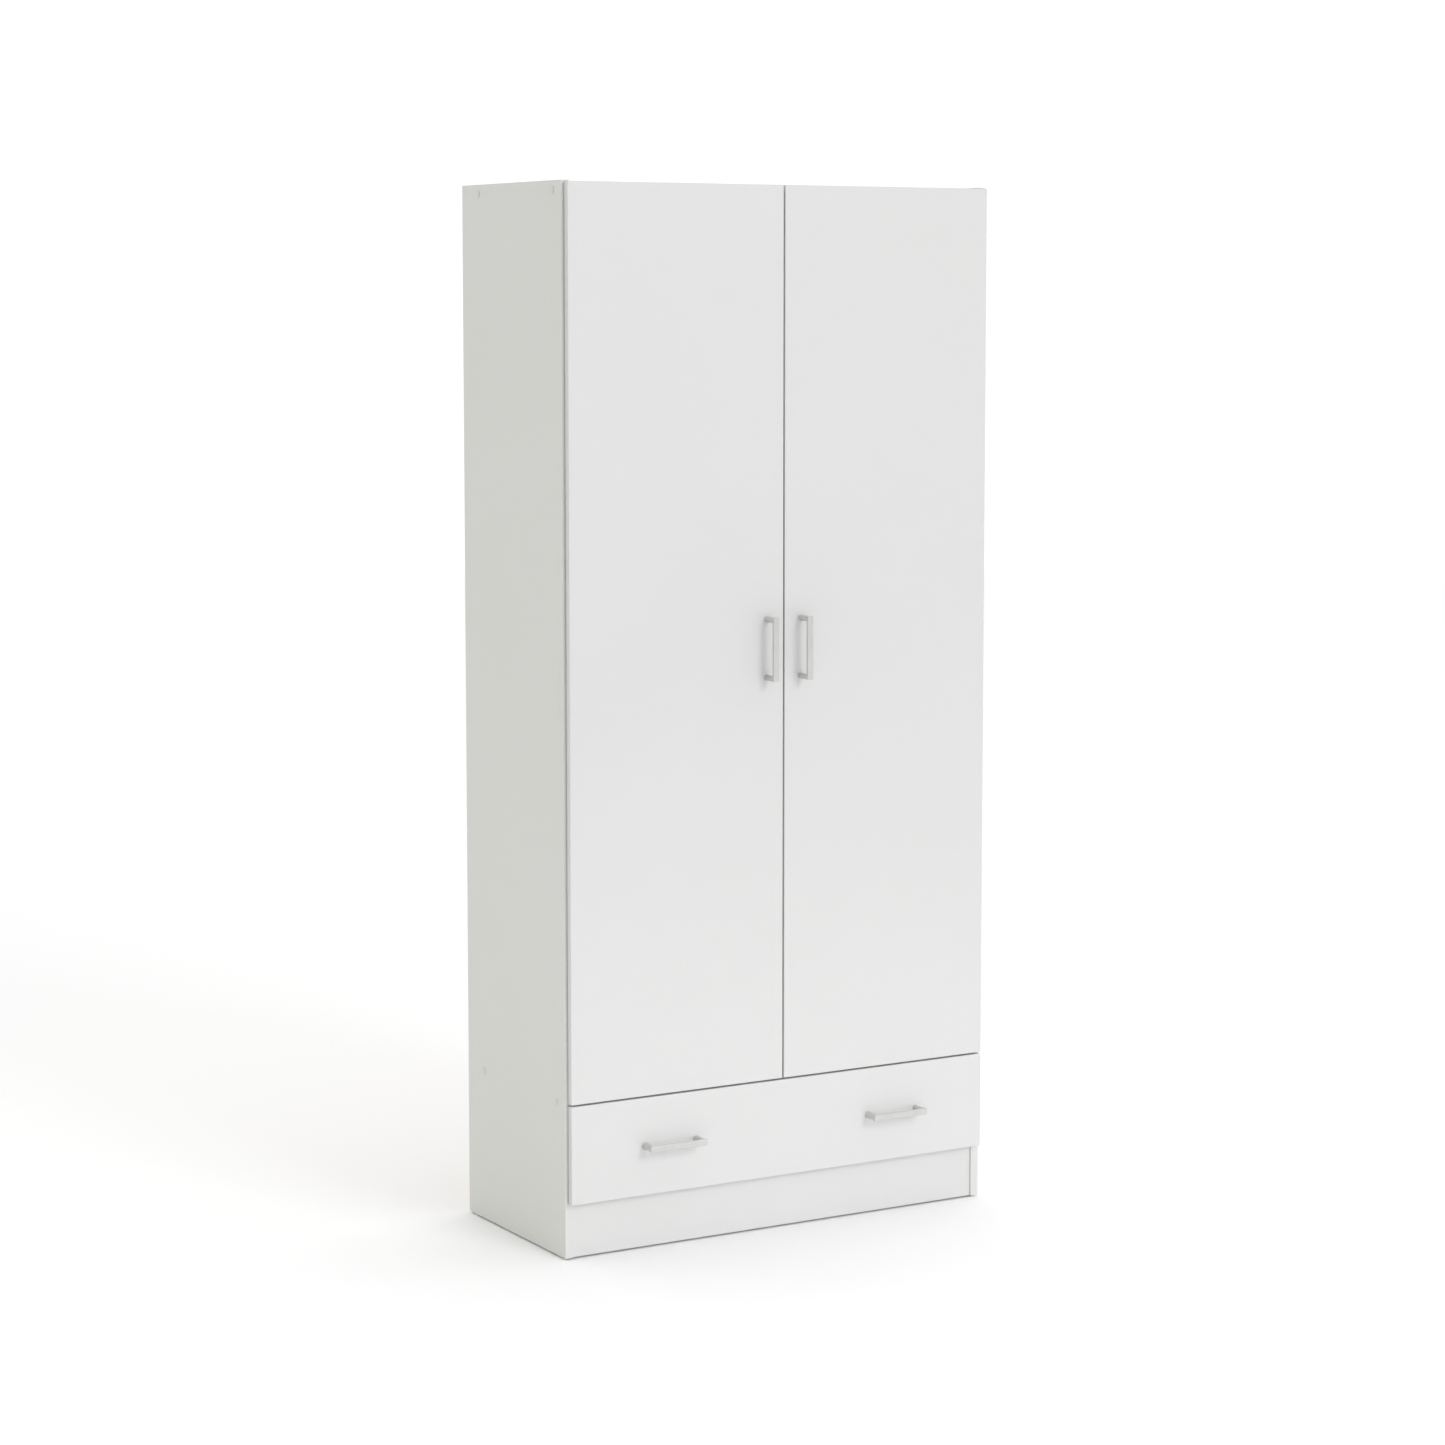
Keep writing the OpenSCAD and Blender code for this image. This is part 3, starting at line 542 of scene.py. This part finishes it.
def beech_wood(name, base):
    """Beech: straight grain along the dowel with short dark rays."""
    f = Finish(name, {"IOR": 1.45})
    grain = f.noise(520, (0.05, 1, 1), detail=6, rough=0.65, warp=0.4)
    rays = f.between(f.noise(1700, (0.22, 1, 1), detail=2), 0, 0.6, 0.58, 0.72)
    tone = f.blend(grain, tinted(base, 0.8), tinted(base, 1.18))
    return f.wear(
        colour=f.blend(rays, tone, tinted(base, 0.5)),
        roughness=f.between(grain, 0.5, 0.7),
        normal=f.bump(grain, 0.00012),
    )


def finish(name):
    """The material of that name, made the first time it is asked for."""
    ready = bpy.data.materials.get(name)
    if ready:
        return ready
    boards = bpy.context.scene.wardrobe_boards
    fittings = bpy.context.scene.wardrobe_fittings
    makers = {
        "front melamine": lambda n: melamine(n, boards.front_colour, boards.pebble_depth),
        "carcass melamine": lambda n: melamine(n, boards.carcass_colour, boards.pebble_depth),
        "edge band": lambda n: edge_band(n, boards.band_colour, boards.pebble_depth),
        "cut chipboard": lambda n: chipboard(n, boards.chip_colour),
        "bare fibreboard": lambda n: fibreboard(n, boards.fibre_colour),
        "white lacquer": lambda n: lacquer(n, boards.lacquer_colour),
        "drawer foil": lambda n: foil(n, boards.foil_colour),
        "beech": lambda n: beech_wood(n, boards.beech_colour),
        "satin nickel upright": lambda n: satin_nickel(
            n, fittings.handle_colour, fittings.handle_roughness, (1, 1, 0.02)
        ),
        "satin nickel level": lambda n: satin_nickel(
            n, fittings.handle_colour, fittings.handle_roughness, (0.02, 1, 1)
        ),
        "nickel plate": lambda n: nickel_plate(n, fittings.nickel_colour),
        "zinc plate": lambda n: zinc_plate(n, fittings.zinc_colour),
        "chrome plate": lambda n: chrome_plate(n, fittings.rail_colour),
        "runner enamel": lambda n: enamel(n, fittings.enamel_colour),
        "roller nylon": lambda n: moulded(n, fittings.nylon_colour, 0.35, 0.5),
        "white plastic": lambda n: moulded(n, fittings.plastic_colour, 0.38, 0.54),
        "cap plastic": lambda n: moulded(n, fittings.cap_colour, 0.40, 0.56),
        "milky plastic": lambda n: moulded(n, fittings.milky_colour, 0.3, 0.45, 0.4),
    }
    return makers[name](name)


# ------------------------------------------------------------------ shapes


def side_of(face, low, high):
    """(axis, direction) of a flat outer side, or None for a cut inside the board."""
    axis = max(range(3), key=lambda a: abs(face.normal[a]))
    direction = 1 if face.normal[axis] > 0 else -1
    edge = (high if direction > 0 else low)[axis]
    if abs(face.calc_center_median()[axis] - edge) < ON_SIDE:
        return axis, direction
    return None


def board_sides(banded):
    """Picks the slot of a board's face: FACE, BAND on the banded sides, or BARE."""

    def pick(face, low, high):
        size = high - low
        side = side_of(face, low, high)
        if side is None:
            return BARE
        if side[0] == min(range(3), key=lambda a: size[a]):
            return FACE
        return BAND if side in banded else BARE

    return pick


def one_side(white):
    """Picks the slot of a thin panel's face: 0 for its white side, 1 for all the others."""

    def pick(face, low, high):
        return 0 if side_of(face, low, high) == white else 1

    return pick


def on_outline(edge, low, high, plain_side):
    """True for an edge that lies on two of the box's sides, plain_side not among them."""
    sides = [
        (axis, direction)
        for axis in range(3)
        for direction, limit in ((-1, low[axis]), (1, high[axis]))
        if all(abs(v.co[axis] - limit) < ON_SIDE for v in edge.verts)
    ]
    return len(sides) >= 2 and plain_side not in sides


def place_piece(node, mesh, finishes):
    """Shows mesh in place of a CAD node, on that node's body."""
    piece = bpy.data.objects.new("finished_" + node, mesh)
    bpy.context.scene.collection.objects.link(piece)
    for name in finishes:
        mesh.materials.append(finish(name))
    weighted = piece.modifiers.new("Even shading", "WEIGHTED_NORMAL")
    weighted.keep_sharp = True
    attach(piece, BODY_OF[node])
    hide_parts(node)
    return piece


def refine(node, finishes, arris, steps=2, pick=None, outline=False, plain_side=None):
    """Makes the piece that is shown for a CAD node: clean faces, softened edges, materials.

    pick gives each face its slot. With outline only the edges of the box are softened, and
    none on plain_side.
    """
    source = frame["nodes"][node].data
    mesh = bpy.data.meshes.new("finished_" + node)
    mesh.from_pydata(
        [v.co[:] for v in source.vertices], [], [p.vertices[:] for p in source.polygons]
    )
    work = bmesh.new()
    work.from_mesh(mesh)
    bmesh.ops.remove_doubles(work, verts=work.verts, dist=WELD)
    bmesh.ops.dissolve_limit(
        work,
        angle_limit=FLAT_ANGLE,
        verts=work.verts,
        edges=work.edges,
        use_dissolve_boundaries=False,
    )
    low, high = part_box(node)
    work.normal_update()
    for face in work.faces:
        face.material_index = pick(face, low, high) if pick else 0
    edges = [
        e
        for e in work.edges
        if len(e.link_faces) == 2
        and e.calc_face_angle(0) > CORNER_ANGLE
        and (not outline or on_outline(e, low, high, plain_side))
    ]
    if arris:
        bmesh.ops.bevel(
            work,
            geom=edges,
            offset=arris,
            offset_type="OFFSET",
            segments=steps,
            profile=ROUND_PROFILE,
            affect="EDGES",
            clamp_overlap=False,
            material=-1,
        )
    for face in work.faces:
        face.smooth = True
    work.to_mesh(mesh)
    work.free()
    mesh.set_sharp_from_angle(angle=CREASE_ANGLE)
    return place_piece(node, mesh, finishes)


# ------------------------------------------------------------------ operators


class WARDROBE_OT_carcass_boards(bpy.types.Operator):
    """Finishes the sides, top, divider, hat shelf and plinth boards"""

    bl_idname = "wardrobe.carcass_boards"
    bl_label = "Carcass boards"

    def execute(self, context):
        arris = context.scene.wardrobe_boards.arris
        banded = {
            "side_panel_left": {FRONT, TOP, BOTTOM},
            "side_panel_right": {FRONT, TOP, BOTTOM},
            "top_panel": {FRONT},
            "divider_shelf": {FRONT},
            "hat_shelf": {FRONT},
            "plinth_front": {TOP, BOTTOM},
            "plinth_rear": set(),
        }
        for node, edges in banded.items():
            face = "front melamine" if node == "plinth_front" else "carcass melamine"
            names = (face, "edge band", "cut chipboard")
            refine(node, names, arris, pick=board_sides(edges), outline=True)
        return {"FINISHED"}


class WARDROBE_OT_back_panels(bpy.types.Operator):
    """Finishes the two back panels and the strip that joins them"""

    bl_idname = "wardrobe.back_panels"
    bl_label = "Back panels"

    def execute(self, context):
        arris = context.scene.wardrobe_boards.thin_arris
        for hand in HANDS:
            names = ("white lacquer", "bare fibreboard")
            refine(f"back_panel_{hand}", names, arris, pick=one_side(FRONT), outline=True)
        refine("back_joint_strip", ("white plastic",), arris)
        return {"FINISHED"}


class WARDROBE_OT_fronts(bpy.types.Operator):
    """Finishes the two doors and the drawer front"""

    bl_idname = "wardrobe.fronts"
    bl_label = "Doors and drawer front"

    def execute(self, context):
        arris = context.scene.wardrobe_boards.front_arris
        for node in ("door_left", "door_right", "drawer_front"):
            names = ("front melamine", "edge band", "cut chipboard")
            pick = board_sides({LEFT, RIGHT, BOTTOM, TOP})
            refine(node, names, arris, pick=pick, outline=True)
        return {"FINISHED"}


class WARDROBE_OT_drawer_box(bpy.types.Operator):
    """Finishes the drawer's sides, back and bottom"""

    bl_idname = "wardrobe.drawer_box"
    bl_label = "Drawer box"

    def execute(self, context):
        boards = context.scene.wardrobe_boards
        names = ("drawer foil", "drawer foil", "cut chipboard")
        for hand in HANDS:
            pick = board_sides({TOP, BOTTOM})
            refine(f"drawer_side_{hand}", names, boards.arris, pick=pick, outline=True)
        refine("drawer_back", names, boards.arris, pick=board_sides({TOP, BOTTOM}), outline=True)
        names = ("white lacquer", "bare fibreboard")
        refine("drawer_bottom", names, boards.thin_arris, pick=one_side(TOP), outline=True)
        return {"FINISHED"}


class WARDROBE_OT_handles(bpy.types.Operator):
    """Finishes the four cast handles: a flat bar on two rounded legs"""

    bl_idname = "wardrobe.handles"
    bl_label = "Handles"

    def execute(self, context):
        arris = context.scene.wardrobe_fittings.handle_arris
        for hand in HANDS:
            for node, name in (
                (f"door_handle_{hand}", "satin nickel upright"),
                (f"drawer_handle_{hand}", "satin nickel level"),
            ):
                refine(node, (name,), arris, steps=3, outline=True, plain_side=BACK)
        return {"FINISHED"}


class WARDROBE_OT_hinges(bpy.types.Operator):
    """Finishes the six concealed hinges: plates, arms, links and cups"""

    bl_idname = "wardrobe.hinges"
    bl_label = "Hinges"

    def execute(self, context):
        fittings = context.scene.wardrobe_fittings
        nodes = ["hinge_plates"] + [f"hinge_links_{hand}" for hand in HANDS]
        for part in ("arm", "cup"):
            nodes += [f"hinge_{part}_{hand}_{n}" for hand in HANDS for n in HINGES]
        for node in nodes:
            refine(node, ("nickel plate",), fittings.steel_arris, fittings.steps)
        return {"FINISHED"}


class WARDROBE_OT_runners(bpy.types.Operator):
    """Finishes the drawer's roller runners and their rollers"""

    bl_idname = "wardrobe.runners"
    bl_label = "Drawer runners"

    def execute(self, context):
        fittings = context.scene.wardrobe_fittings
        arris, steps = fittings.steel_arris, fittings.steps
        for hand in HANDS:
            for member in ("cabinet", "drawer"):
                refine(f"runner_{member}_{hand}", ("runner enamel",), arris, steps)
        for node in ("front_rollers", "rear_rollers"):
            refine(node, ("roller nylon",), 2 * arris, steps)
        return {"FINISHED"}


class WARDROBE_OT_clothes_rail(bpy.types.Operator):
    """Finishes the clothes rail and the brackets that hold it under the hat shelf"""

    bl_idname = "wardrobe.clothes_rail"
    bl_label = "Clothes rail"

    def execute(self, context):
        fittings = context.scene.wardrobe_fittings
        refine("clothes_rail", ("chrome plate",), fittings.steel_arris, fittings.steps)
        refine("rail_brackets", ("nickel plate",), fittings.steel_arris, fittings.steps)
        return {"FINISHED"}


class WARDROBE_OT_wall_brackets(bpy.types.Operator):
    """Finishes the two brackets that hold the wardrobe to a wall"""

    bl_idname = "wardrobe.wall_brackets"
    bl_label = "Wall brackets"

    def execute(self, context):
        fittings = context.scene.wardrobe_fittings
        refine("wall_brackets", ("nickel plate",), fittings.steel_arris, fittings.steps)
        return {"FINISHED"}


class WARDROBE_OT_screws(bpy.types.Operator):
    """Finishes all screws and nails"""

    bl_idname = "wardrobe.screws"
    bl_label = "Screws and nails"

    def execute(self, context):
        arris = context.scene.wardrobe_fittings.small_arris
        nodes = [
            "confirmat_screws",
            "panel_screws",
            "drawer_handle_screws",
            "drawer_screws",
            "back_nails",
        ]
        for kind in ("door_handle_screws", "cup_screws"):
            nodes += [f"{kind}_{hand}" for hand in HANDS]
        for node in nodes:
            refine(node, ("zinc plate",), arris, steps=1)
        return {"FINISHED"}


class WARDROBE_OT_small_plastic(bpy.types.Operator):
    """Finishes the screw caps, floor glides, shelf pins and door bumpers"""

    bl_idname = "wardrobe.small_plastic"
    bl_label = "Caps, glides, pins and bumpers"

    def execute(self, context):
        fittings = context.scene.wardrobe_fittings
        refine("screw_caps", ("cap plastic",), fittings.steel_arris, fittings.steps)
        nodes = ["floor_glides", "shelf_pins"] + [f"door_bumpers_{hand}" for hand in HANDS]
        for node in nodes:
            refine(node, ("milky plastic",), fittings.steel_arris, fittings.steps)
        return {"FINISHED"}


class WARDROBE_OT_dowels(bpy.types.Operator):
    """Finishes the beech dowels of the plinth"""

    bl_idname = "wardrobe.dowels"
    bl_label = "Dowels"

    def execute(self, context):
        refine("plinth_dowels", ("beech",), context.scene.wardrobe_boards.arris)
        return {"FINISHED"}


class WARDROBE_OT_studio(bpy.types.Operator):
    """Makes the floor, the surround, the key and fill lights and the camera"""

    bl_idname = "wardrobe.studio"
    bl_label = "Studio"

    def execute(self, context):
        studio = context.scene.wardrobe_studio
        self.lay_floor(studio)
        self.light_surround(context.scene, studio)
        middle = (CAD_BOX[0] + CAD_BOX[1]) / 2
        size = studio.key_size
        self.hang_light("key_light", studio.key_power, studio.key_place, middle, size, size)
        foot = (0, middle[1], 0)
        fill = self.hang_light(
            "fill_light",
            studio.fill_power,
            studio.fill_place,
            foot,
            studio.fill_width,
            studio.fill_height,
        )
        fill.spread = studio.fill_spread
        self.stand_camera(context.scene, studio)
        context.scene.view_settings.view_transform = "Standard"
        return {"FINISHED"}

    def lay_floor(self, studio):
        disc = bmesh.new()
        bmesh.ops.create_circle(
            disc, cap_ends=True, radius=studio.floor_radius, segments=FLOOR_CORNERS
        )
        mesh = bpy.data.meshes.new("studio_floor")
        disc.to_mesh(mesh)
        disc.free()
        f = Finish("studio floor", {"IOR": 1.4, "Roughness": 0.8})
        mottle = f.noise(3.0, detail=4)
        base = studio.floor_colour
        near = f.blend(mottle, tinted(base, 0.995), tinted(base, 1.005))
        # Painted light: past floor_near the floor's colour pales towards rim_colour, brightening
        # the far floor to match the surround.
        reach = f.node("ShaderNodeVectorMath", {0: f.space}, operation="LENGTH").outputs["Value"]
        far = f.between(reach, 0, 1, studio.floor_near, studio.floor_far)
        f.wear(
            colour=f.blend(far, near, studio.rim_colour),
            normal=f.bump(f.noise(60, detail=3), 0.0002),
        )
        mesh.materials.append(f.material)
        floor = bpy.data.objects.new("studio_floor", mesh)
        bpy.context.scene.collection.objects.link(floor)

    def light_surround(self, scene, studio):
        """A wide soft surround: bright behind and overhead, dimmer in front and on the left.

        It looks evenly white itself, from every side.
        """
        world = bpy.data.worlds.new("studio surround")
        scene.world = world
        world.use_nodes = True
        tree = world.node_tree
        back = tree.nodes["Background"]
        back.inputs["Strength"].default_value = studio.sky_level
        direction = tree.nodes.new("ShaderNodeTexCoord").outputs["Generated"]

        def towards(aim, start, end):
            dot = tree.nodes.new("ShaderNodeVectorMath")
            dot.operation = "DOT_PRODUCT"
            dot.inputs[1].default_value = Vector(aim).normalized()
            tree.links.new(direction, dot.inputs[0])
            spread = tree.nodes.new("ShaderNodeMapRange")
            spread.interpolation_type = "SMOOTHSTEP"
            spread.inputs["From Min"].default_value = start
            spread.inputs["From Max"].default_value = end
            tree.links.new(dot.outputs["Value"], spread.inputs["Value"])
            return spread.outputs[0]

        def mixed(share_of_second, first, second, kind="MIX"):
            mix = tree.nodes.new("ShaderNodeMix")
            mix.data_type = "RGBA"
            mix.blend_type = kind
            mix.clamp_result = False
            inputs = {"Factor": share_of_second, MIX_FIRST: rgba(first), MIX_SECOND: rgba(second)}
            for socket, value in inputs.items():
                if isinstance(value, bpy.types.NodeSocket):
                    tree.links.new(value, mix.inputs[socket])
                else:
                    mix.inputs[socket].default_value = value
            return mix.outputs[MIX_RESULT]

        front = (studio.front_level,) * 3
        level = mixed(towards(*BEHIND), front, WHITE)
        left = mixed(towards(*ON_THE_LEFT), WHITE, studio.left_colour)
        level = mixed(1.0, level, left, "MULTIPLY")
        ceiling = (studio.zenith_level,) * 3
        overhead = mixed(towards(*OVERHEAD), BLACK, ceiling)
        light = mixed(1.0, level, overhead, "ADD")
        seen = tree.nodes.new("ShaderNodeLightPath").outputs["Is Camera Ray"]
        tree.links.new(mixed(seen, light, WHITE), back.inputs["Color"])

    def hang_light(self, name, power, place, aim, width, height):
        light = bpy.data.lights.new(name, "AREA")
        light.energy = power
        light.shape = "RECTANGLE"
        light.size, light.size_y = width, height
        lamp = bpy.data.objects.new(name, light)
        lamp.location = place
        lamp.visible_camera = False
        lamp.rotation_euler = (Vector(aim) - Vector(place)).to_track_quat("-Z", "Y").to_euler()
        bpy.context.scene.collection.objects.link(lamp)
        return light

    def stand_camera(self, scene, studio):
        data = bpy.data.cameras.new("camera")
        data.lens = studio.lens
        data.sensor_width = SENSOR_WIDTH
        data.shift_y = studio.shift
        camera = bpy.data.objects.new("camera", data)
        camera.location = studio.eye
        camera.rotation_euler = (math.pi / 2 + studio.tilt, 0, -studio.heading)
        scene.collection.objects.link(camera)
        scene.camera = camera


class WARDROBE_PT_finishing(bpy.types.Panel):
    """Lists the steps that finish the wardrobe"""

    bl_idname = "WARDROBE_PT_finishing"
    bl_label = "Wardrobe"
    bl_space_type = "VIEW_3D"
    bl_region_type = "UI"
    bl_category = "Wardrobe"

    def draw(self, context):
        for step in STEPS:
            self.layout.operator(step.bl_idname)
        for name in SETTINGS:
            settings = getattr(context.scene, name)
            for prop in settings.__annotations__:
                self.layout.prop(settings, prop)


STEPS = (
    WARDROBE_OT_carcass_boards,
    WARDROBE_OT_back_panels,
    WARDROBE_OT_fronts,
    WARDROBE_OT_drawer_box,
    WARDROBE_OT_handles,
    WARDROBE_OT_hinges,
    WARDROBE_OT_runners,
    WARDROBE_OT_clothes_rail,
    WARDROBE_OT_wall_brackets,
    WARDROBE_OT_screws,
    WARDROBE_OT_small_plastic,
    WARDROBE_OT_dowels,
    WARDROBE_OT_studio,
)
SETTINGS = {
    "wardrobe_boards": BoardSettings,
    "wardrobe_fittings": FittingSettings,
    "wardrobe_studio": StudioSettings,
}


def register():
    for cls in (*SETTINGS.values(), *STEPS, WARDROBE_PT_finishing):
        bpy.utils.register_class(cls)
    for name, settings in SETTINGS.items():
        setattr(bpy.types.Scene, name, PointerProperty(type=settings))


def unregister():
    for name in SETTINGS:
        delattr(bpy.types.Scene, name)
    for cls in reversed((*SETTINGS.values(), *STEPS, WARDROBE_PT_finishing)):
        bpy.utils.unregister_class(cls)


def main():
    register()
    for step in STEPS:
        family, action = step.bl_idname.split(".")
        getattr(getattr(bpy.ops, family), action)()


if __name__ == "__main__":
    main()
